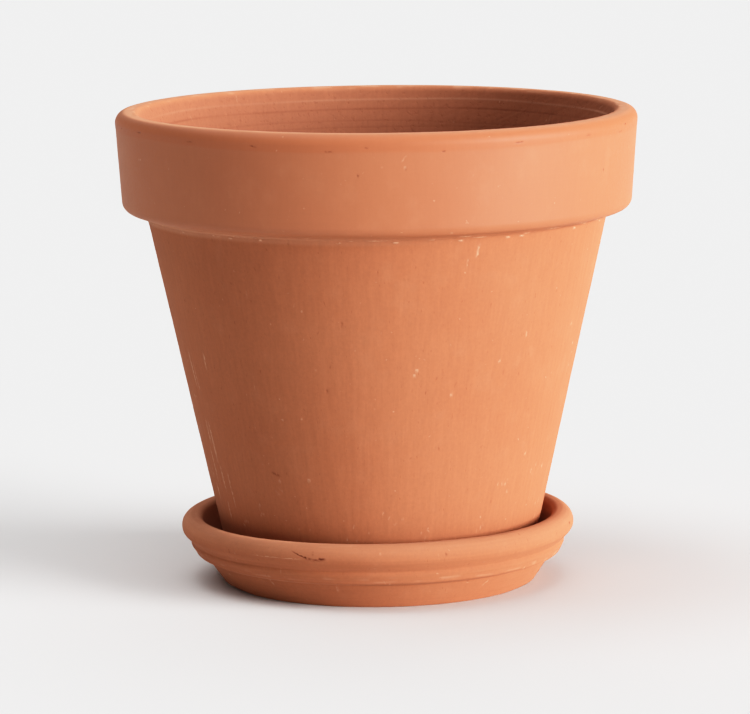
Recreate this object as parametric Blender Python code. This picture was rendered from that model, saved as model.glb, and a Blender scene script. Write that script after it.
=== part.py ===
"""A terracotta flower pot standing in its matching saucer.

Both pieces are solids turned about +Z, in metres. The origin is at the middle of the saucer's
underside, level with the ground. The pot stands on the saucer's floor and lifts straight out.
"""

import math

import bmesh
import bpy
from mathutils import Vector

# Driving dimensions in metres. Every radius is measured from the common axis.
RIM_RADIUS = 0.120  # where the collar's side and the lip's top would meet, were the lip not rounded
POT_HEIGHT = 0.210
BASE_RADIUS = 0.070
POT_FLOOR = 0.010
DRAIN_RADIUS = 0.012

COLLAR_DEPTH = 0.0446  # from the lip down to the collar's lower edge
COLLAR_TAPER = 0.0031  # how much smaller the collar's radius is at that edge
SHOULDER_WIDTH = 0.0111  # how far the collar stands out past the wall under it
SHOULDER_DROP = 0.0028  # the collar's underside slopes down by this much to the wall

LIP_THICKNESS = 0.0105
INNER_FLOOR_RADIUS = 0.062  # the wall is 10.2 mm thick here, more than under the collar

SAUCER_RADIUS = 0.0909
SAUCER_HEIGHT = 0.0312
SAUCER_FLOOR = 0.008
SAUCER_FLOOR_RADIUS = 0.0735
SAUCER_FOOT_RADIUS = 0.0722
SAUCER_LEAN = 0.0084  # how much its inner wall leans out between the floor and the rim
ROLL_RADIUS = 0.0053  # of the rolled rim's round section
ROLL_SIDE = 0.0075  # from the rim's top down to where the roll turns inwards
GROOVE_INSET = 0.0055  # the upper groove lies this far in from the roll's widest point
GROOVE_DEPTH = 0.013  # and this far under the rim's top
BEAD_WIDTH = 0.0015  # how far the bead stands out past the upper groove
BEAD_TOP = 0.0146
BEAD_BOTTOM = 0.0182
LOWER_GROOVE_INSET = 0.0113
LOWER_GROOVE_DEPTH = 0.0198

# Fillet radii.
LIP_OUTER_FILLET = 0.0048
LIP_INNER_FILLET = 0.0028
COLLAR_FILLET = 0.0058
SHOULDER_FILLET = 0.0015
BASE_FILLET = 0.0018
DRAIN_LOWER_FILLET = 0.0012
DRAIN_UPPER_FILLET = 0.0025
POT_FLOOR_FILLET = 0.008
SAUCER_FLOOR_FILLET = 0.003
BEAD_TOP_FILLET = 0.0012
BEAD_BOTTOM_FILLET = 0.002
FOOT_FILLET = 0.0012

STANDING_GAP = 0.0003  # between the pot's base and the saucer's floor

TURN_STEPS = 64
ARC_STEP = math.radians(28)
SHARP_ANGLE = math.radians(40)
AXIS_RADIUS = 1e-6  # a profile point closer to the axis than this lies on it

CLAY = (0.56, 0.235, 0.115, 1.0)
SAUCER_CLAY = (0.53, 0.215, 0.105, 1.0)
CLAY_ROUGHNESS = 0.85


def rounded(corners):
    """The outline through (radius, height, fillet) corners, with an arc at each filleted corner."""
    outline = []
    count = len(corners)
    for index, (radius, height, fillet) in enumerate(corners):
        here = Vector((radius, height))
        if not fillet:
            outline.append(here)
            continue
        before = Vector(corners[index - 1][:2])
        after = Vector(corners[(index + 1) % count][:2])
        into = (here - before).normalized()
        out = (after - here).normalized()
        turn = into.angle_signed(out)
        reach = fillet * math.tan(abs(turn) / 2)
        start = here - into * reach
        side = Vector((into.y, -into.x)) * math.copysign(fillet, turn)
        centre = start + side
        steps = max(2, math.ceil(abs(turn) / ARC_STEP))
        for step in range(steps + 1):
            swing = -turn * step / steps
            spoke = start - centre
            x = spoke.x * math.cos(swing) - spoke.y * math.sin(swing)
            y = spoke.x * math.sin(swing) + spoke.y * math.cos(swing)
            outline.append(centre + Vector((x, y)))
    return outline


def turned(name, outline, material):
    """A solid of revolution about Z; the outline may start and end on the axis."""
    mesh = bpy.data.meshes.new(name)
    bm = bmesh.new()
    points = [bm.verts.new((point.x, 0.0, point.y)) for point in outline]
    edges = [bm.edges.new(pair) for pair in zip(points, points[1:], strict=False)]
    if outline[0].x > AXIS_RADIUS:
        edges.append(bm.edges.new((points[-1], points[0])))
    bmesh.ops.spin(
        bm,
        geom=points + edges,
        cent=(0.0, 0.0, 0.0),
        axis=(0.0, 0.0, 1.0),
        angle=math.tau,
        steps=TURN_STEPS,
        use_merge=True,
    )
    bmesh.ops.remove_doubles(bm, verts=bm.verts, dist=AXIS_RADIUS)
    bmesh.ops.recalc_face_normals(bm, faces=bm.faces)
    bm.to_mesh(mesh)
    bm.free()
    mesh.shade_smooth()
    mesh.set_sharp_from_angle(angle=SHARP_ANGLE)
    mesh.materials.append(material)
    piece = bpy.data.objects.new(name, mesh)
    bpy.context.collection.objects.link(piece)
    return piece


def clay(name, colour):
    """Unglazed fired clay."""
    material = bpy.data.materials.new(name)
    material.use_nodes = True
    shader = material.node_tree.nodes["Principled BSDF"]
    shader.inputs["Base Color"].default_value = colour
    shader.inputs["Roughness"].default_value = CLAY_ROUGHNESS
    shader.inputs["Metallic"].default_value = 0.0
    return material


def pot():
    """The flared pot with its thick collar, made as one pressed piece open at the drain hole."""
    collar_edge = POT_HEIGHT - COLLAR_DEPTH
    wall_top_radius = RIM_RADIUS - COLLAR_TAPER - SHOULDER_WIDTH
    mouth_radius = RIM_RADIUS - LIP_THICKNESS
    corners = [
        (RIM_RADIUS, POT_HEIGHT, LIP_OUTER_FILLET),
        (RIM_RADIUS - COLLAR_TAPER, collar_edge, COLLAR_FILLET),
        (wall_top_radius, collar_edge - SHOULDER_DROP, SHOULDER_FILLET),
        (BASE_RADIUS, 0.0, BASE_FILLET),
        (DRAIN_RADIUS, 0.0, DRAIN_LOWER_FILLET),
        (DRAIN_RADIUS, POT_FLOOR, DRAIN_UPPER_FILLET),
        (INNER_FLOOR_RADIUS, POT_FLOOR, POT_FLOOR_FILLET),
        (mouth_radius, POT_HEIGHT, LIP_INNER_FILLET),
    ]
    piece = turned("pot", rounded(corners), clay("pot_clay", CLAY))
    piece.location.z = SAUCER_FLOOR + STANDING_GAP
    return piece


def saucer():
    """The saucer: a flat dish with a rolled rim, and a bead between two grooves under the roll."""
    groove_radius = SAUCER_RADIUS - GROOVE_INSET
    bead_radius = groove_radius + BEAD_WIDTH
    corners = [
        (0.0, SAUCER_FLOOR, 0.0),
        (SAUCER_FLOOR_RADIUS, SAUCER_FLOOR, SAUCER_FLOOR_FILLET),
        (SAUCER_FLOOR_RADIUS + SAUCER_LEAN, SAUCER_HEIGHT, ROLL_RADIUS),
        (SAUCER_RADIUS, SAUCER_HEIGHT, ROLL_RADIUS),
        (SAUCER_RADIUS, SAUCER_HEIGHT - ROLL_SIDE, ROLL_RADIUS),
        (groove_radius, SAUCER_HEIGHT - GROOVE_DEPTH, 0.0),
        (bead_radius, SAUCER_HEIGHT - BEAD_TOP, BEAD_TOP_FILLET),
        (groove_radius - BEAD_WIDTH, SAUCER_HEIGHT - BEAD_BOTTOM, BEAD_BOTTOM_FILLET),
        (SAUCER_RADIUS - LOWER_GROOVE_INSET, SAUCER_HEIGHT - LOWER_GROOVE_DEPTH, 0.0),
        (SAUCER_FOOT_RADIUS, 0.0, FOOT_FILLET),
        (0.0, 0.0, 0.0),
    ]
    return turned("saucer", rounded(corners), clay("saucer_clay", SAUCER_CLAY))


for leftover in list(bpy.data.objects):
    bpy.data.objects.remove(leftover, do_unlink=True)

dish = saucer()
vessel = pot()
vessel.parent = dish
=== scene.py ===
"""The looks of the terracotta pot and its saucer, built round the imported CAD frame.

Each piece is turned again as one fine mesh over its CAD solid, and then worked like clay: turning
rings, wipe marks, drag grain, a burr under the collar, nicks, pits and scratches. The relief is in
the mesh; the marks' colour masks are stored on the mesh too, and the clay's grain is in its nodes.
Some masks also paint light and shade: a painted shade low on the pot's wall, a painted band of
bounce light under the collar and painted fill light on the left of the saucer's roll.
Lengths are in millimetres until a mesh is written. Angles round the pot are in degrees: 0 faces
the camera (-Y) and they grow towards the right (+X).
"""

import math

import bmesh
import bpy
import numpy as np
from mathutils import Matrix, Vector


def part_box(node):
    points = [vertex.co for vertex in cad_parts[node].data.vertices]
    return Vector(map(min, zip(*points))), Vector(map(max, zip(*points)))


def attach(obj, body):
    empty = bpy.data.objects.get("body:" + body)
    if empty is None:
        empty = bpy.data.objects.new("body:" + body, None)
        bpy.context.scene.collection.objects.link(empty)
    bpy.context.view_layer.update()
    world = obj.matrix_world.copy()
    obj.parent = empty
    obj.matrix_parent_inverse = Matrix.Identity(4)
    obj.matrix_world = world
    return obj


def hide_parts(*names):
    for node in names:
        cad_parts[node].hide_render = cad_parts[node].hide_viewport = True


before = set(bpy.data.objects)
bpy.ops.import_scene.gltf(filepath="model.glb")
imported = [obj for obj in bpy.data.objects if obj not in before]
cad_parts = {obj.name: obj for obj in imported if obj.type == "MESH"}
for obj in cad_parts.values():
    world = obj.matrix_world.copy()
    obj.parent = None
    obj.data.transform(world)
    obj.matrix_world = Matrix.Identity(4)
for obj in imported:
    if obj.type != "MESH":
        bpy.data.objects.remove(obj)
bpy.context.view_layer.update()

MM = 0.001
COLUMNS = 720  # quads round each piece
ARC_ROW = 0.4  # row spacing on the fillets
MARK_MARGIN = 0.8  # the mesh is refined this far past a mark's edge
AXIS = 1e-3  # a point closer to the axis than this lies on it
# The slip mask holds the slip band under the lip and also a painted shade low on the pot's wall.
MASKS = ("pale", "dark", "slip_and_low_shade", "rough", "burnished")

# --- Sizes; the heights and the saucer's radius are read from the CAD frame ------------------
pot_low, pot_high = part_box("pot")
saucer_low, saucer_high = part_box("saucer")
POT_BASE = pot_low.z / MM
POT_TOP = pot_high.z / MM
RIM_RADIUS = 120.0
BASE_RADIUS = 70.0
POT_FLOOR = 10.0
DRAIN_RADIUS = 12.0
COLLAR_DEPTH = 44.6
COLLAR_TAPER = 3.1
SHOULDER_WIDTH = 11.1
SHOULDER_DROP = 2.8
LIP_THICKNESS = 10.5
INNER_FLOOR_RADIUS = 62.0
SHOULDER_RADIUS = RIM_RADIUS - COLLAR_TAPER - SHOULDER_WIDTH
COLLAR_EDGE = POT_TOP - COLLAR_DEPTH
SHOULDER = COLLAR_EDGE - SHOULDER_DROP
INSIDE_BAND = 26.0  # the part of the inside that the camera sees, below the lip

SAUCER_TOP = saucer_high.z / MM
SAUCER_RADIUS = saucer_high.x / MM
SAUCER_FLOOR = 8.0
SAUCER_FLOOR_RADIUS = 73.5
SAUCER_FOOT_RADIUS = 72.2
SAUCER_LEAN = 8.4
ROLL_RADIUS = 5.3
GROOVE_RADIUS = SAUCER_RADIUS - 5.1

# --- Camera ----------------------------------------------------------------------------------
CAMERA_LENS = 207.0
CAMERA_AT = (-1.608, -1969.7, 409.7)
CAMERA_PITCH = math.radians(8.861)
CAMERA_ROLL = math.radians(-0.563)


def smooth(x):
    """Smoothstep of x, which is held between 0 and 1."""
    x = np.clip(x, 0.0, 1.0)
    return x * x * (3 - 2 * x)


def ramp(x, low, high):
    """0 below low, 1 above high and smooth between them."""
    return smooth((x - low) / (high - low))


def hump(x, centre, width):
    """A rounded bump of height 1 at the centre."""
    return np.exp(-(((x - centre) / width) ** 2))


def field(seed, theta, along, around, pitch):
    """Smooth random values from -1 to 1: `around` cells round the pot, one every `pitch` mm down."""
    rng = np.random.default_rng(seed)
    v = (along - along.min()) / pitch
    grid = rng.uniform(-1, 1, (int(v.max()) + 3, around))
    u = theta / math.tau * around
    column = np.floor(u).astype(int)
    row = np.floor(v).astype(int)
    across = smooth(u - column)
    down = smooth(v - row)
    left = column % around
    right = (column + 1) % around
    upper = grid[row, left] * (1 - across) + grid[row, right] * across
    lower = grid[row + 1, left] * (1 - across) + grid[row + 1, right] * across
    return upper * (1 - down) + lower * down


def wrapped(angle):
    """The same angle between half a turn to the left and half a turn to the right."""
    return (angle + math.pi) % math.tau - math.pi


def waves(seed, theta, sizes):
    """A slow wave round the pot: one harmonic for each (count, size)."""
    rng = np.random.default_rng(seed)
    total = np.zeros_like(theta)
    for count, size in sizes:
        total += size * np.cos(count * theta + rng.uniform(0, math.tau))
    return total


# --- Turned meshes ---------------------------------------------------------------------------
def arc(before, here, after, fillet):
    """The points that round off one corner."""
    into = (here - before) / np.linalg.norm(here - before)
    out = (after - here) / np.linalg.norm(after - here)
    turn = math.atan2(into[0] * out[1] - into[1] * out[0], into @ out)
    start = here - into * fillet * math.tan(abs(turn) / 2)
    side = np.array([-into[1], into[0]]) * math.copysign(fillet, turn)
    centre = start + side
    steps = max(3, math.ceil(abs(turn) * fillet / ARC_ROW))
    swing = turn * np.arange(steps + 1) / steps
    spoke = start - centre
    x = spoke[0] * np.cos(swing) - spoke[1] * np.sin(swing)
    y = spoke[0] * np.sin(swing) + spoke[1] * np.cos(swing)
    return centre + np.stack([x, y], axis=1)


def outline(corners, closed):
    """Rows through (radius, height, fillet, row spacing to the next corner) corners."""
    points = [np.array(corner[:2], float) for corner in corners]
    count = len(points)
    pieces = []
    for i, (_, _, fillet, _) in enumerate(corners):
        ends = not closed and i in (0, count - 1)
        if ends or not fillet:
            pieces.append(points[i][None])
        else:
            pieces.append(arc(points[i - 1], points[i], points[(i + 1) % count], fillet))
    rows = []
    for i, piece in enumerate(pieces):
        rows.append(piece)
        if i == count - 1 and not closed:
            break
        start, end = piece[-1], pieces[(i + 1) % count][0]
        steps = max(1, round(np.linalg.norm(end - start) / corners[i][3]))
        share = np.arange(1, steps)[:, None] / steps
        rows.append(start + (end - start) * share)
    return np.concatenate(rows)


class Turned:
    """A lathe mesh with, for each vertex, its angle, its place along the outline and its normal."""

    def __init__(self, name, rows, closed, crest):
        """crest is the index of the row that `along` is counted from, growing down the outside."""
        step = np.linalg.norm(np.diff(rows, axis=0), axis=1)
        place = np.concatenate([[0.0], np.cumsum(step)])
        place -= place[crest]
        angle = np.arange(COLUMNS) * math.tau / COLUMNS
        radius = rows[:, 0][None]
        x = radius * np.sin(angle)[:, None]
        y = -radius * np.cos(angle)[:, None]
        z = np.broadcast_to(rows[:, 1][None], x.shape)
        count = len(rows)
        self.rows, self.place = rows, place
        self.name = name
        self.mesh = bpy.data.meshes.new(name)
        here = np.arange(COLUMNS)[:, None] * count + np.arange(count if closed else count - 1)
        below = here + 1
        if closed:
            below[:, -1] -= count
        beside = (here + count) % (COLUMNS * count)
        corner = (below + count) % (COLUMNS * count)
        faces = np.stack([here, below, corner, beside], axis=-1).reshape(-1, 4)
        points = np.stack([x, y, z], axis=-1).reshape(-1, 3)
        self.mesh.from_pydata(points.tolist(), [], faces.tolist())
        layer = self.mesh.attributes.new("along", "FLOAT", "POINT")
        layer.data.foreach_set("value", np.tile(place, COLUMNS).astype(np.float32))
        if not closed:
            self.close_poles()

    def close_poles(self):
        """Joins the vertices that lie together on the axis."""
        bm = bmesh.new()
        bm.from_mesh(self.mesh)
        poles = [v for v in bm.verts if math.hypot(v.co.x, v.co.y) < AXIS]
        bmesh.ops.remove_doubles(bm, verts=poles, dist=AXIS)
        bm.to_mesh(self.mesh)
        bm.free()

    def refine(self, marks):
        """Splits the faces under each mark, so that its edge is crisp."""
        self.read()
        ends = np.zeros(len(self.mesh.edges) * 2, np.int32)
        self.mesh.edges.foreach_get("vertices", ends)
        first = ends[::2]
        theta, along, radius = self.theta[first], self.along[first], self.radius[first]
        chosen = np.zeros(len(first), bool)
        for mark in marks:
            near = np.abs(along - mark.along) < mark.reach
            swing = wrapped(theta[near] - mark.angle)
            chosen[near] |= np.abs(swing) * radius[near] < mark.reach
        bm = bmesh.new()
        bm.from_mesh(self.mesh)
        bm.edges.ensure_lookup_table()
        edges = [bm.edges[i] for i in np.flatnonzero(chosen)]
        bmesh.ops.subdivide_edges(bm, edges=edges, cuts=2, use_grid_fill=True)
        bm.to_mesh(self.mesh)
        bm.free()
        self.read()

    def read(self):
        """Fetches the vertices, and clears the relief that write() applies."""
        count = len(self.mesh.vertices)
        co = np.zeros(count * 3, np.float32)
        self.mesh.vertices.foreach_get("co", co)
        self.co = co.reshape(-1, 3).astype(float)
        along = np.zeros(count, np.float32)
        self.mesh.attributes["along"].data.foreach_get("value", along)
        self.along = along.astype(float)
        self.radius = np.hypot(self.co[:, 0], self.co[:, 1])
        self.theta = np.arctan2(self.co[:, 0], -self.co[:, 1])
        self.height = self.co[:, 2]
        slope = np.gradient(self.rows, self.place, axis=0)
        slope /= np.linalg.norm(slope, axis=1)[:, None]
        self.out = -np.interp(self.along, self.place, slope[:, 1])
        self.up = np.interp(self.along, self.place, slope[:, 0])
        self.push = np.zeros(count)  # along the normal
        self.sway = np.zeros(count)  # away from the axis, both faces of a wall alike
        self.lean = np.zeros(count)  # towards +X
        self.rise = np.zeros(count)
        self.masks = {name: np.zeros(count) for name in MASKS}

    def place_of(self, height):
        """Where on the outside, along the outline, a height above the ground is."""
        outer = self.place >= 0
        return float(np.interp(-height, -self.rows[outer, 1], self.place[outer]))

    def paint(self, name, amount):
        """Raises a mask to amount where it is lower."""
        self.masks[name] = np.maximum(self.masks[name], amount)

    def write(self):
        """Applies the relief and stores the masks as attributes for the clay's nodes."""
        spoke = self.co[:, :2] / np.maximum(self.radius, AXIS)[:, None]
        radius = self.radius + self.push * self.out + self.sway
        radius = np.where(self.radius < AXIS, 0.0, radius)
        co = np.empty_like(self.co)
        co[:, :2] = spoke * radius[:, None]
        co[:, 0] += self.lean
        co[:, 2] = self.height + self.push * self.up + self.rise
        self.mesh.vertices.foreach_set("co", (co * MM).astype(np.float32).ravel())
        for name, mask in self.masks.items():
            layer = self.mesh.attributes.new(name, "FLOAT", "POINT")
            layer.data.foreach_set("value", np.clip(mask, 0, 1).astype(np.float32))
        self.mesh.update()
        self.mesh.shade_smooth()
        piece = bpy.data.objects.new(self.name, self.mesh)
        bpy.context.scene.collection.objects.link(piece)
        return piece


class Mark:
    """One mark in the clay. Its depth goes in, or stands out where it is negative."""

    def __init__(self, angle, along, size, tilt=0.0, depth=0.0, pale=0.0, dark=0.0):
        """The size is (length, width); with no tilt the length runs round the pot."""
        self.angle, self.along = math.radians(angle), along
        self.length, self.width = size[0] / 2, size[1] / 2
        self.tilt = math.radians(tilt)
        self.depth, self.pale, self.dark = depth, pale, dark
        self.reach = self.length + self.width + MARK_MARGIN

    def press(self, turned, ragged):
        """Moves the surface and paints the masks under the mark, with an edge made ragged."""
        swing = wrapped(turned.theta - self.angle)
        near = np.abs(turned.along - self.along) < self.reach
        near &= np.abs(swing) * turned.radius < self.reach
        across = swing[near] * turned.radius[near]
        down = turned.along[near] - self.along
        uneven = ragged[near]
        run = across * math.cos(self.tilt) + down * math.sin(self.tilt)
        side = down * math.cos(self.tilt) - across * math.sin(self.tilt)
        side += uneven * self.width * 0.8
        shape = np.exp(-((run / self.length) ** 4) - (side / self.width) ** 2)
        shape *= np.clip(0.85 + 0.75 * uneven, 0.0, 1.3)
        turned.push[near] -= self.depth * shape
        for name, amount in (("pale", self.pale), ("dark", self.dark)):
            mask = turned.masks[name]
            mask[near] = np.maximum(mask[near], amount * shape)


def nick(angle, along, length, width=0.8, tilt=0.0, dark=0.7):
    """A dark dent."""
    return Mark(angle, along, (length, width), tilt, depth=0.2, dark=dark)


def pit(angle, along, size=1.2):
    """A small dark hollow."""
    return Mark(angle, along, (size * 0.8, size * 1.2), depth=0.15, dark=0.5)


def scratch(angle, along, length, width=0.6, tilt=90.0, pale=0.4):
    """A pale line."""
    return Mark(angle, along, (length, width), tilt, depth=0.04, pale=pale)


def grit(angle, along, size=1.2, pale=0.45):
    """A pale grain that stands out a little."""
    return Mark(angle, along, (size, size), depth=-0.06, pale=pale)


def burr(angle, along, length, width=0.9):
    """A pale sliver of clay that stands out."""
    return Mark(angle, along, (length, width), depth=-0.25, pale=0.6)


def scuff(rng, angle, along, spread, count):
    """A patch of pale grains and short scratches, spread over a few millimetres."""
    marks = []
    for _ in range(count):
        beside = angle + rng.normal(0, spread / 3)
        down = along + rng.normal(0, spread / 2)
        pale = rng.uniform(0.15, 0.4)
        if rng.random() < 0.5:
            marks.append(grit(beside, down, rng.uniform(0.8, 1.5), pale))
        else:
            tilt = rng.uniform(40, 140)
            marks.append(scratch(beside, down, rng.uniform(1.5, 3.5), 0.6, tilt, pale))
    return marks


# --- Clay ------------------------------------------------------------------------------------
class Graph:
    """Short calls for building a material's nodes."""

    def __init__(self, name):
        self.material = bpy.data.materials.new(name)
        self.material.use_nodes = True
        self.tree = self.material.node_tree
        self.shader = self.tree.nodes["Principled BSDF"]

    def node(self, kind, **settings):
        node = self.tree.nodes.new(kind)
        for key, value in settings.items():
            setattr(node, key, value)
        return node

    def feed(self, socket, value):
        if isinstance(value, bpy.types.NodeSocket):
            self.tree.links.new(value, socket)
        else:
            socket.default_value = value

    def math(self, operation, a, b=0.0, clamp=False):
        node = self.node("ShaderNodeMath", operation=operation, use_clamp=clamp)
        self.feed(node.inputs[0], a)
        self.feed(node.inputs[1], b)
        return node.outputs[0]

    def vector(self, operation, a, b=(0.0, 0.0, 0.0)):
        node = self.node("ShaderNodeVectorMath", operation=operation)
        self.feed(node.inputs[0], a)
        if operation == "SCALE":
            self.feed(node.inputs["Scale"], b)
        elif operation != "NORMALIZE":
            self.feed(node.inputs[1], b)
        return node.outputs[0]

    def noise(self, vector, scale, detail=2.0, roughness=0.5, distortion=0.0):
        node = self.node("ShaderNodeTexNoise")
        self.feed(node.inputs["Vector"], vector)
        node.inputs["Scale"].default_value = scale
        node.inputs["Detail"].default_value = detail
        node.inputs["Roughness"].default_value = roughness
        node.inputs["Distortion"].default_value = distortion
        return node.outputs["Fac"]

    def between(self, value, low, high, start=0.0, end=1.0):
        """Smoothly maps value from low..high to start..end."""
        node = self.node("ShaderNodeMapRange", interpolation_type="SMOOTHSTEP")
        for socket, amount in zip(node.inputs[:5], (value, low, high, start, end), strict=True):
            self.feed(socket, amount)
        return node.outputs[0]

    def mix(self, share, a, b, blend="MIX"):
        """Mixes two colours: the node's sockets 6, 7 and output 2 are its colour ones."""
        node = self.node("ShaderNodeMix", data_type="RGBA", blend_type=blend)
        self.feed(node.inputs[0], share)
        self.feed(node.inputs[6], a)
        self.feed(node.inputs[7], b)
        return node.outputs[2]

    def attribute(self, name):
        return self.node("ShaderNodeAttribute", attribute_name=name).outputs["Fac"]

    def bump(self, height, distance, strength):
        node = self.node("ShaderNodeBump")
        node.inputs["Strength"].default_value = strength
        node.inputs["Distance"].default_value = distance
        self.feed(node.inputs["Height"], height)
        return node.outputs[0]


CLAY = (0.432, 0.169, 0.087, 1.0)
CLAY_RED = (0.420, 0.158, 0.080, 1.0)
CLAY_OCHRE = (0.450, 0.184, 0.098, 1.0)
# The slip's colour, which also paints the shade low on the pot's wall.
CLAY_SLIP_AND_LOW_SHADE = (0.428, 0.150, 0.071, 1.0)
CLAY_ROUGH = (0.380, 0.152, 0.086, 1.0)
CLAY_PALE = (0.66, 0.40, 0.27, 1.0)
CLAY_DARK = (0.18, 0.042, 0.020, 1.0)
BUMP_DEPTH = 0.00012  # metres
BUMP_STRENGTH = 0.5
BURNISHED_GLOSS = 0.3  # how much less rough the smoothed clay is


def clay(name, dragged, wiped):
    """Unglazed fired clay. dragged streaks it down the wall, wiped streaks it round the piece."""
    g = Graph(name)
    place = g.node("ShaderNodeTexCoord").outputs["Object"]
    along = g.attribute("along")
    rough = g.attribute("rough")
    burnished = g.attribute("burnished")
    spoke = g.vector("NORMALIZE", g.vector("MULTIPLY", place, (1.0, 1.0, 0.0)))
    down = g.node("ShaderNodeCombineXYZ")
    g.feed(down.inputs["Z"], along)

    def drawn(round_scale, down_scale):
        """Coordinates with no seam; a small down_scale draws the pattern out down the wall."""
        ring = g.vector("SCALE", spoke, round_scale)
        return g.vector("ADD", ring, g.vector("SCALE", down.outputs[0], down_scale))

    def centred(value, size):
        return g.math("MULTIPLY", g.math("SUBTRACT", value, 0.5), size)

    mottle = g.noise(place, 16.0, detail=3.0)
    patch = g.noise(place, 75.0, detail=3.0, roughness=0.6)
    grain = g.noise(place, 700.0, detail=2.0, roughness=0.6)
    streak = g.noise(drawn(55.0, 0.08), 1.0, detail=3.0, roughness=0.65)
    ring = g.noise(drawn(2.0, 0.9), 1.0, detail=3.0, roughness=0.65)
    pores = g.between(g.noise(drawn(90.0, 0.35), 1.0, detail=1.0), 0.68, 0.84)
    holes = g.between(g.noise(place, 520.0, detail=1.5), 0.58, 0.76)
    flecks = g.between(g.noise(place, 430.0, detail=1.0), 0.74, 0.84)

    colour = g.mix(g.between(mottle, 0.3, 0.7), CLAY_RED, CLAY)
    colour = g.mix(g.between(patch, 0.5, 0.8, 0.0, 0.6), colour, CLAY_OCHRE)
    # The slip band, and the painted shade low on the pot's wall, both in the slip's colour.
    colour = g.mix(g.attribute("slip_and_low_shade"), colour, CLAY_SLIP_AND_LOW_SHADE)
    colour = g.mix(rough, colour, CLAY_ROUGH)
    shade = g.math("ADD", centred(streak, dragged), centred(grain, 0.20))
    shade = g.math("MULTIPLY", shade, g.between(burnished, 0.0, 1.0, 1.0, 0.35))
    shade = g.math("ADD", g.math("ADD", shade, centred(ring, wiped)), 1.0)
    grey = g.node("ShaderNodeCombineXYZ")
    for socket in grey.inputs:
        g.feed(socket, shade)
    colour = g.mix(1.0, colour, grey.outputs[0], blend="MULTIPLY")
    colour = g.mix(g.math("MULTIPLY", flecks, 0.3), colour, CLAY_PALE)
    plain = g.math("SUBTRACT", 1.0, burnished)
    colour = g.mix(g.math("MULTIPLY", g.math("MULTIPLY", pores, plain), 0.3), colour, CLAY_DARK)
    colour = g.mix(g.math("MULTIPLY", g.math("MULTIPLY", holes, rough), 0.12), colour, CLAY_DARK)
    colour = g.mix(g.attribute("pale"), colour, CLAY_PALE)
    colour = g.mix(g.attribute("dark"), colour, CLAY_DARK)
    g.feed(g.shader.inputs["Base Color"], colour)
    coarse = g.between(grain, 0.2, 0.8, 0.84, 0.94)
    gloss = g.math("MULTIPLY", burnished, BURNISHED_GLOSS)
    g.feed(g.shader.inputs["Roughness"], g.math("SUBTRACT", coarse, gloss))
    g.shader.inputs["Diffuse Roughness"].default_value = 0.5
    g.shader.inputs["Specular IOR Level"].default_value = 0.33

    height = g.math("ADD", g.math("MULTIPLY", grain, 0.4), g.math("MULTIPLY", streak, 4.0 * dragged))
    height = g.math("SUBTRACT", height, g.math("MULTIPLY", pores, 0.8))
    height = g.math("MULTIPLY", height, g.between(burnished, 0.0, 1.0, 1.0, 0.4))
    height = g.math("SUBTRACT", height, g.math("MULTIPLY", g.math("MULTIPLY", holes, rough), 1.2))
    height = g.math("ADD", height, g.math("MULTIPLY", ring, 4.0 * wiped))
    g.feed(g.shader.inputs["Normal"], g.bump(height, BUMP_DEPTH, BUMP_STRENGTH))
    return g.material


# --- The pot ---------------------------------------------------------------------------------
LIP_BAND = 10.3  # the band of redder slip runs this far down from the crest of the lip
INSIDE_RIDGE = 6.0  # how far below the top each turned line lies inside the mouth
INSIDE_GROOVE = 10.6
INSIDE_LINES = (16.7, 19.2)
# Painted shade: between these heights the foot of the wall, just above the saucer's rim, is darkened.
LOW_SHADE_HEIGHTS = (26.0, 39.0)  # the wall darkens from the upper to the lower of these heights
OVAL = 0.1  # the pot is out of round by this much
SMUDGE_HEIGHT = 60.0
DRAGGED_SIDE = (-88, -58)  # most drag lines lie between these angles
SCUFFED = (30, 60)  # and the scuffs between these heights
INSIDE_MARKED = (-75.0, -6.0)  # the stretch of the outline inside the mouth that is marked
DRAGS = 25.0  # two pale lines run down from the shoulder here, right of the middle
SMUDGE = -35.0  # a dark smear lies low on the wall here


def lathe(seed, theta, along, pitch):
    """The fine rings that turning leaves, fading in and out round the pot."""
    rings = field(seed, theta, along, 5, pitch)
    return rings * (0.6 + 0.4 * field(seed + 1, theta, along, 7, 25.0))


def spaced(rng, low, high, step):
    """Angles from low to high, one about every step degrees."""
    angles = np.arange(low, high, step)
    return angles + rng.uniform(-0.45, 0.45, len(angles)) * step


def scattered(rng, count, low, high, small, large):
    """Random marks all round: pits, grit and scratches between two places along the outline."""
    marks = []
    for _ in range(count):
        angle = rng.uniform(-180, 180)
        along = rng.uniform(low, high)
        size = small + (large - small) * rng.random() ** 3
        kind = rng.random()
        if kind < 0.5:
            marks.append(Mark(angle, along, (size * 0.8, size * 1.4), depth=0.12, dark=0.28))
        elif kind < 0.75:
            marks.append(grit(angle, along, size, pale=0.25))
        else:
            tilt = rng.normal(90, 12)
            marks.append(scratch(angle, along, size * 4, size * 0.5, tilt, pale=0.2))
    return marks


def collar_marks(rng, at):
    """Small nicks along the collar's top edge, and a few faint pits and some dust on its side."""
    marks = []
    for angle in spaced(rng, -180, 180, 15.0):
        height = POT_TOP - rng.normal(6.4, 1.1)
        marks.append(nick(angle, at(height), rng.uniform(1, 4), rng.uniform(0.4, 0.7), rng.normal(0, 8)))
    for angle in spaced(rng, -180, 180, 40.0):
        height = rng.uniform(COLLAR_EDGE + 10, POT_TOP - 12)
        marks.append(pit(angle, at(height), 1.0))
    return marks + scuff(rng, 5.0, at(POT_TOP - 15), 5, 3)


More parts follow.
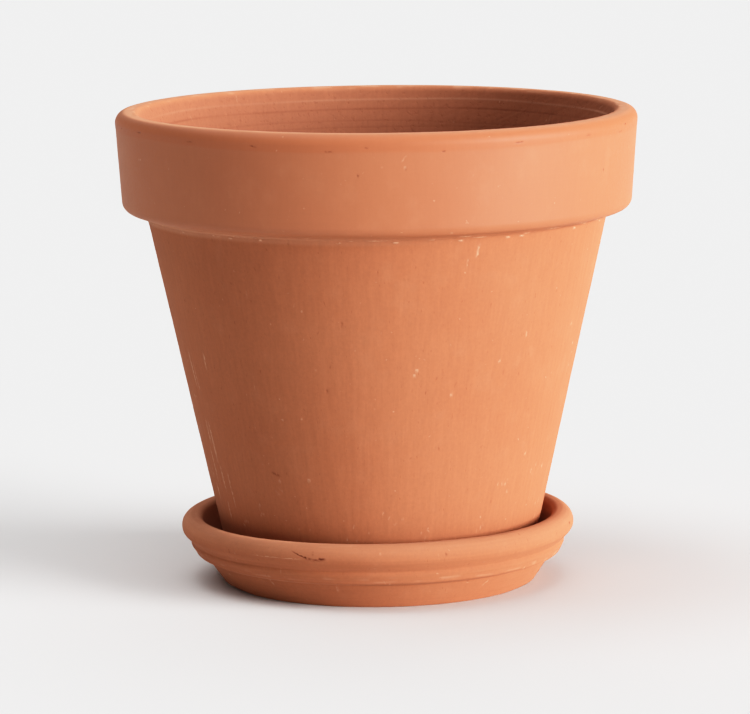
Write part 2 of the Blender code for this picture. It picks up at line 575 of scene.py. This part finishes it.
def shoulder_marks(rng, at):
    """Pale burrs along the top of the wall, where the collar's clay ran over, and their crumbs."""
    marks = []
    for angle in spaced(rng, -180, 180, 9.0):
        height = SHOULDER + rng.normal(0.2, 0.4)
        marks.append(burr(angle, at(height), rng.uniform(2, 10)))
    for angle in spaced(rng, -180, 180, 13.0):
        marks.append(burr(angle, at(SHOULDER - 1.6), 2.4))
    marks.append(scratch(DRAGS, at(SHOULDER - 7), 6.0, 1.1, 98, pale=0.5))
    marks.append(scratch(DRAGS - 2.5, at(SHOULDER - 12), 4.0, 0.7, 92, pale=0.35))
    return marks


def wall_marks(rng, at):
    """Drag lines down the left of the wall, with grains and, near the foot, dusty scuffs."""
    marks = [nick(SMUDGE, at(SMUDGE_HEIGHT), 4.4, 0.9, 18, dark=0.5)]
    for _ in range(14):
        angle = rng.uniform(*DRAGGED_SIDE)
        size = (rng.uniform(5, 18), rng.uniform(0.6, 1.4))
        marks.append(scratch(angle, at(rng.uniform(38, 118)), *size, rng.normal(88, 3), pale=0.5))
    for _ in range(26):
        marks.append(grit(rng.uniform(-180, 180), at(rng.uniform(40, 125)), 1.5))
    for angle in spaced(rng, -180, 180, 15.0):
        marks += scuff(rng, angle, at(rng.uniform(*SCUFFED)), rng.uniform(3, 6), 4)
    return marks


def pot_marks(pot):
    """Every single mark on the pot."""
    rng = np.random.default_rng(41)
    at = pot.place_of
    marks = collar_marks(rng, at) + shoulder_marks(rng, at) + wall_marks(rng, at)
    marks += scattered(rng, 70, at(POT_TOP - 8), at(POT_BASE + 3), 0.6, 1.6)
    marks += scattered(rng, 36, *INSIDE_MARKED, 0.7, 1.6)
    return marks


def warp_pot(pot):
    """The slow unevenness of a soft pot that was lifted and dried."""
    top_share = ramp(pot.height, POT_BASE, POT_TOP)
    oval = OVAL * np.cos(2 * pot.theta) + OVAL
    uneven = waves(1, pot.theta, ((3, 0.03), (5, 0.02), (7, 0.015))) - 0.12
    pot.sway += (uneven - oval) * top_share
    lip_share = ramp(pot.height, 150, 216)
    dip = waves(2, pot.theta, ((2, 0.06), (3, 0.05), (5, 0.03), (8, 0.02))) - 0.22
    pot.rise += dip * lip_share


def texture_pot(pot, outside, body, inside):
    """Turning lines and the fine texture of the wall, in mm along the normal."""
    theta, along = pot.theta, pot.along
    pot.push += 0.10 * field(3, theta, along, 11, 32.0) * (body + inside)
    pot.push += 0.04 * field(4, theta, along, 42, 9.0)
    pot.push += 0.006 * lathe(5, theta, along, 1.3) * (1 - body) * outside
    pot.push += 0.035 * field(7, theta, along, 150, 30.0) * body
    pot.push += 0.03 * field(8, theta, along, 300, 14.0) * body
    pot.push += 0.05 * lathe(9, theta, along, 2.2) * inside
    pot.push += 0.07 * lathe(10, theta, along, 6.0) * inside


def shape_collar(pot, shoulder, outside):
    """The slip band under the lip, the worn crest, the ridge left along the shoulder, and a painted band
    of bounce light under the collar.
    """
    theta, along = pot.theta, pot.along
    edge = LIP_BAND + waves(11, theta, ((3, 0.35), (7, 0.2), (13, 0.12), (29, 0.08)))
    band = (1 - ramp(along, edge - 0.5, edge + 0.5)) * ramp(along, 0.0, 2.0)
    pot.push += 0.07 * band
    pot.paint("slip_and_low_shade", 0.9 * band)
    pot.paint("burnished", outside * (1 - ramp(along, shoulder - 4.0, shoulder)))
    worn = ramp(field(12, theta, along, 120, 1.5), 0.2, 0.9) * hump(along, -3.5, 2.2)
    pot.paint("pale", 0.28 * worn + 0.32 * hump(along, -0.8, 3.0))
    pot.push -= 0.05 * worn
    past = np.maximum(along - shoulder, 0.0)
    lipped = 0.6 - 0.12 * np.sin(theta) + waves(17, theta, ((4, 0.05), (9, 0.04)))
    pot.push += lipped * ramp(along, shoulder - 2.8, shoulder + 0.2) * np.exp(-past / 2.2)
    # Painted light: a paler band under the collar, strongest on the left and gone on the right, stands
    # in for light bounced up from the floor.
    painted_bounce_band = ramp(along, shoulder - 3.5, shoulder - 1.0) * (1 - ramp(past, 2.0, 4.0))
    pot.paint("pale", np.maximum(0.08 - 0.2 * np.sin(theta), 0.0) * painted_bounce_band)


def shape_mouth(pot, inside):
    """The turned ridge, groove and lines inside the mouth, and the hatching below them."""
    theta, along = pot.theta, pot.along
    below_lip = POT_TOP - pot.height
    broken = 0.6 + 0.4 * field(13, theta, along, 24, 9.0)
    wander = waves(14, theta, ((2, 0.3), (5, 0.2), (9, 0.1)))
    ridge = hump(below_lip, INSIDE_RIDGE + wander, 0.5) * inside
    groove = hump(below_lip, INSIDE_GROOVE + wander, 0.45) * inside
    upper = hump(below_lip, INSIDE_LINES[0] - wander, 0.4)
    lower = hump(below_lip, INSIDE_LINES[1] + wander, 0.4)
    line = (upper + lower) * inside
    ridge *= 0.6 + 0.4 * np.sin(theta)
    pot.push += (0.14 * ridge - 0.16 * groove - 0.08 * line) * broken
    pot.paint("pale", 0.5 * ridge * broken)
    pot.paint("dark", (0.4 * groove + 0.2 * line) * broken)
    hatch = field(15, theta + along * 0.02, along, 260, 5.0)
    pot.push += 0.06 * hatch * inside * (1 - ramp(below_lip, 14, 30))


def shape_pot(pot):
    """Turning, wiping, firing and a painted shade low on the wall: everything that isn't a single mark.
    """
    theta, along, height = pot.theta, pot.along, pot.height
    shoulder = pot.place_of(SHOULDER)
    foot = pot.place_of(POT_BASE + 1)
    outside = ramp(along, 0.0, 3.0)
    body = ramp(along, shoulder + 0.5, shoulder + 5)
    inside = ramp(-along, 4.0, 8.0)
    under = ramp(along, foot + 1, foot + 4)
    warp_pot(pot)
    texture_pot(pot, outside, body, inside)
    shape_collar(pot, shoulder, outside)
    shape_mouth(pot, inside)
    pot.paint("rough", inside + 0.7 * under)
    # Painted shade: the foot of the wall, where the saucer's rim shades it, is darkened through the slip
    # and dark masks.
    painted_low_shade = (1 - ramp(height, *LOW_SHADE_HEIGHTS)) * body
    pot.paint("slip_and_low_shade", 0.6 * painted_low_shade)
    pot.paint("dark", 0.05 * painted_low_shade)
    hole = hump(pot.radius, DRAIN_RADIUS + 1.6, 1.0) * ramp(height, POT_BASE + 6, POT_BASE + 8)
    pot.push += 0.35 * hole * ramp(field(16, theta, along, 19, 4.0), -0.3, 0.6)


def make_pot():
    """The pot, as one turned surface: its corners are (radius, height, fillet, row spacing)."""
    floor = POT_BASE + POT_FLOOR
    share = INSIDE_BAND / (POT_TOP - floor)
    mouth = RIM_RADIUS - LIP_THICKNESS
    corners = [
        (DRAIN_RADIUS, POT_BASE, 1.2, 1.5),
        (DRAIN_RADIUS, floor, 2.5, 1.5),
        (INNER_FLOOR_RADIUS, floor, 8.0, 1.6),
        (mouth + (INNER_FLOOR_RADIUS - mouth) * share, POT_TOP - INSIDE_BAND, 0.0, 0.35),
        (mouth, POT_TOP, 2.8, 0.6),
        (RIM_RADIUS, POT_TOP, 4.8, 0.8),
        (RIM_RADIUS - COLLAR_TAPER, COLLAR_EDGE, 4.5, 0.4),
        (SHOULDER_RADIUS, SHOULDER, 1.5, 0.4),
        (SHOULDER_RADIUS - 1.3, SHOULDER - 6.0, 0.0, 1.4),
        (BASE_RADIUS, POT_BASE, 1.8, 2.5),
    ]
    rows = outline(corners, closed=True)
    crest = int(np.argmax(rows[:, 1] + (rows[:, 0] > RIM_RADIUS - LIP_THICKNESS / 2) * 1e-3))
    pot = Turned("pot_surface", rows, closed=True, crest=crest)
    marks = pot_marks(pot)
    pot.refine(marks)
    shape_pot(pot)
    ragged = field(20, pot.theta, pot.along, 800, 0.8)
    for mark in marks:
        mark.press(pot, ragged)
    piece = pot.write()
    piece.data.materials.append(clay("pot_clay", dragged=0.19, wiped=0.03))
    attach(piece, "pot")
    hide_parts("pot")


# --- The saucer ------------------------------------------------------------------------------
SCAR = -20.0  # the roll is torn here, left of the middle, and a crack runs to it from the left


def torn(rng, at):
    """One ragged gash in the wet clay, which slopes down from the left and then levels out."""
    marks = []
    for share in np.linspace(0, 1, 6):
        angle = SCAR + 7.0 * (share - 0.5)
        height = SAUCER_TOP - 4.2 - 2.2 * math.sin(share * math.pi / 1.6)
        size = (rng.uniform(4.2, 5.4), 0.5 + 0.7 * share)
        marks.append(nick(angle, at(height), *size, 26 - 38 * share, dark=0.9))
    return marks


def saucer_marks(saucer):
    """Every single mark on the saucer."""
    rng = np.random.default_rng(43)
    at = saucer.place_of
    marks = torn(rng, at)
    for angle in spaced(rng, SCAR - 17, SCAR - 3, 6.0):
        marks.append(scratch(angle, at(SAUCER_TOP - 6.5), rng.uniform(8, 11), 0.5, rng.normal(0, 2)))
    for angle in spaced(rng, -180, 180, 40.0):
        marks.append(pit(angle, at(SAUCER_TOP - rng.uniform(3, 8))))
    for angle in spaced(rng, -180, 180, 24.0):
        size = (rng.uniform(1.6, 4.2), rng.uniform(0.6, 0.9))
        marks.append(scratch(angle, at(rng.uniform(2.5, 14)), *size, rng.normal(85, 25)))
    for angle in np.arange(80, 280, 23.0):
        spread = rng.uniform(-8, 8)
        size = (rng.uniform(2, 6), rng.uniform(0.6, 1.1))
        marks.append(nick(angle + spread, at(rng.uniform(24, 29)), *size, rng.normal(0, 14)))
    marks += scattered(rng, 50, -40.0, at(2.0), 0.8, 1.6)
    marks += scattered(rng, 30, at(29.0), at(2.0), 0.8, 1.4)
    return marks


def shape_saucer(saucer):
    """Its lean and waves, wiping, wear, dust, painted fill light on the roll's left and uneven foot:
    everything that isn't a single mark.
    """
    theta, along, height = saucer.theta, saucer.along, saucer.height
    share = height / SAUCER_TOP
    saucer.lean -= 0.4 + 0.8 * share
    saucer.rise += (0.55 * np.sin(theta) + waves(31, theta, ((2, 0.12), (3, 0.1)))) * share**2
    saucer.sway += waves(32, theta, ((2, 0.15), (3, 0.1), (5, 0.06))) * share
    above_foot = ramp(height, 0.0, 2.0)
    saucer.push += 0.08 * field(33, theta, along, 16, 10.0) * above_foot
    saucer.push += 0.05 * lathe(34, theta, along, 1.2) * above_foot
    saucer.push += 0.04 * field(35, theta, along, 60, 4.0) * above_foot
    wipes = field(36, theta, along, 9, 0.8) * ramp(field(37, theta, along, 12, 5.0), -0.4, 0.6)
    roll = ramp(height, 17.0, 19.0) * ramp(along, -5.0, -1.0)
    saucer.push += 0.07 * wipes * roll
    floor = ramp(-along, 26.0, 34.0)
    saucer.push += 0.10 * lathe(38, theta, along, 2.6) * floor
    saucer.push += 0.06 * field(39, theta + along * 0.03, along, 40, 3.0) * floor
    saucer.paint("rough", 0.8 * floor)
    bead = hump(height, SAUCER_TOP - 16.5, 1.3) * ramp(along, 0.0, 5.0)
    chafed = ramp(field(41, theta, along, 90, 1.4), 0.15, 0.95)
    # Pale dust on the outside of the roll, with painted fill light on top: it is paler on the left, the
    # shaded side, than on the right.
    dust_and_painted_fill = (1 - ramp(along, 2.0, 13.0)) * (1 - 0.6 * floor) * (0.2 - 0.09 * np.sin(theta))
    saucer.paint("pale", 0.28 * bead * chafed + dust_and_painted_fill * (1 + 0.3 * chafed))
    filled = ramp(-np.sin(theta), 0.1, 0.7) * ramp(along, 0.0, 5.0)
    saucer.push += 0.8 * filled * hump(height, SAUCER_TOP - 12.6, 1.5)
    foot = hump(height, 0.0, 1.5) * ramp(saucer.radius, SAUCER_FOOT_RADIUS - 5, SAUCER_FOOT_RADIUS - 2)
    hollow = 1 - ramp(saucer.radius, SAUCER_FOOT_RADIUS - 9, SAUCER_FOOT_RADIUS - 6)
    saucer.rise += 0.5 * hump(height, 0.0, 1.5) * hollow
    saucer.rise += 0.45 * foot * ramp(field(42, theta, along, 17, 60.0), -0.3, 0.5)


def make_saucer():
    """The saucer, as one turned surface from the middle of its floor to that of its underside."""
    corners = [
        (0.0, SAUCER_FLOOR, 0.0, 1.5),
        (SAUCER_FLOOR_RADIUS, SAUCER_FLOOR, 3.0, 0.8),
        (SAUCER_FLOOR_RADIUS + SAUCER_LEAN, SAUCER_TOP, 3.2, 0.4),
        (SAUCER_RADIUS, SAUCER_TOP, ROLL_RADIUS, 0.4),
        (SAUCER_RADIUS, SAUCER_TOP - 7.5, 4.6, 0.35),
        (GROOVE_RADIUS, SAUCER_TOP - 12.4, 0.7, 0.35),
        (GROOVE_RADIUS + 0.8, SAUCER_TOP - 13.9, 1.8, 0.35),
        (GROOVE_RADIUS - 1.5, SAUCER_TOP - 18.2, 2.0, 0.35),
        (GROOVE_RADIUS - 5.8, SAUCER_TOP - 19.8, 0.5, 0.6),
        (SAUCER_FOOT_RADIUS, 0.0, 1.2, 2.5),
        (0.0, 0.0, 0.0, 1.0),
    ]
    rows = outline(corners, closed=False)
    crest = int(np.argmax(rows[:, 1] + (rows[:, 0] > SAUCER_RADIUS - ROLL_RADIUS) * 1e-3))
    saucer = Turned("saucer_surface", rows, closed=False, crest=crest)
    marks = saucer_marks(saucer)
    saucer.refine(marks)
    shape_saucer(saucer)
    ragged = field(40, saucer.theta, saucer.along, 600, 0.8)
    for mark in marks:
        mark.press(saucer, ragged)
    piece = saucer.write()
    piece.data.materials.append(clay("saucer_clay", dragged=0.06, wiped=0.16))
    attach(piece, "saucer")
    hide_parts("saucer")


# --- Stage -----------------------------------------------------------------------------------
FLOOR_HALF = 9.0  # metres
FLOOR_GREY = 0.73


def make_floor():
    """A plain matt floor, far wider than the view."""
    mesh = bpy.data.meshes.new("floor")
    half = FLOOR_HALF
    corners = [(-half, -half, 0), (half, -half, 0), (half, half, 0), (-half, half, 0)]
    mesh.from_pydata(corners, [], [(0, 1, 2, 3)])
    floor = bpy.data.objects.new("floor", mesh)
    bpy.context.scene.collection.objects.link(floor)
    g = Graph("floor_white")
    g.shader.inputs["Base Color"].default_value = (FLOOR_GREY,) * 3 + (1.0,)
    g.shader.inputs["Roughness"].default_value = 0.9
    g.shader.inputs["Specular IOR Level"].default_value = 0.0
    mesh.materials.append(g.material)


def sun(name, azimuth, elevation, strength, spread):
    """A soft sun that shines from that azimuth, 0 being the camera's side and 90 the right."""
    data = bpy.data.lights.new(name, "SUN")
    data.energy = strength
    data.angle = math.radians(spread)
    light = bpy.data.objects.new(name, data)
    bpy.context.scene.collection.objects.link(light)
    turn = Matrix.Rotation(math.radians(azimuth), 4, "Z")
    tip = Matrix.Rotation(math.radians(90 - elevation), 4, "X")
    light.matrix_world = turn @ tip


HORIZON_TOP = math.radians(3.2)  # the bright band is even up to here and gone at twice this


def make_world(strength, horizon):
    """An even sky, with a bright band along the horizon that carries the floor's white on."""
    world = bpy.data.worlds.new("studio")
    bpy.context.scene.world = world
    world.use_nodes = True
    nodes, links = world.node_tree.nodes, world.node_tree.links
    split = nodes.new("ShaderNodeSeparateXYZ")
    links.new(nodes.new("ShaderNodeTexCoord").outputs["Generated"], split.inputs[0])
    band = nodes.new("ShaderNodeMapRange")
    band.interpolation_type = "SMOOTHSTEP"
    links.new(split.outputs["Z"], band.inputs["Value"])
    band.inputs["From Min"].default_value = math.sin(HORIZON_TOP)
    band.inputs["From Max"].default_value = math.sin(HORIZON_TOP * 2)
    band.inputs["To Min"].default_value = horizon
    band.inputs["To Max"].default_value = strength
    background = nodes["Background"]
    background.inputs["Color"].default_value = (1.0, 1.0, 1.0, 1.0)
    links.new(band.outputs[0], background.inputs["Strength"])


def make_camera():
    """A long lens from the front, looking down by about 9 degrees and rolled by half a degree."""
    data = bpy.data.cameras.new("camera")
    data.lens = CAMERA_LENS
    data.sensor_width = 36.0
    data.clip_end = 100.0
    camera = bpy.data.objects.new("camera", data)
    bpy.context.scene.collection.objects.link(camera)
    tip = Matrix.Rotation(math.pi / 2 - CAMERA_PITCH, 4, "X")
    roll = Matrix.Rotation(CAMERA_ROLL, 4, "Z")
    camera.matrix_world = Matrix.Translation([c * MM for c in CAMERA_AT]) @ tip @ roll
    bpy.context.scene.camera = camera


TONE_WHITE = 2.0  # the light that is shown as white
TONE_CONTRAST = 1.37
TONE_SHOULDER = 1.6
TONE_POINTS = 16


def set_tone():
    """The camera's response: a power law with a soft shoulder, as a curve of a few points."""
    view = bpy.context.scene.view_settings
    view.view_transform = "Standard"
    view.use_curve_mapping = True
    mapping = view.curve_mapping
    mapping.white_level = (TONE_WHITE,) * 3
    curve = mapping.curves[3]  # the one for all three channels
    curve.points[-1].location = (1.0, 1.0)
    for share in np.arange(1, TONE_POINTS) / TONE_POINTS:
        place = share**1.5
        bent = (place * TONE_WHITE) ** (TONE_CONTRAST * TONE_SHOULDER)
        curve.points.new(place, (1 - math.exp(-bent)) ** (1 / TONE_SHOULDER))
    mapping.update()


make_camera()
make_pot()
make_saucer()
make_floor()
make_world(strength=0.36, horizon=1.22)
sun("key", azimuth=63, elevation=4, strength=13.8, spread=45)
sun("left", azimuth=-90, elevation=65, strength=1.15, spread=35)
sun("front", azimuth=0, elevation=70, strength=0.9, spread=35)
sun("back", azimuth=180, elevation=55, strength=0.8, spread=50)
set_tone()
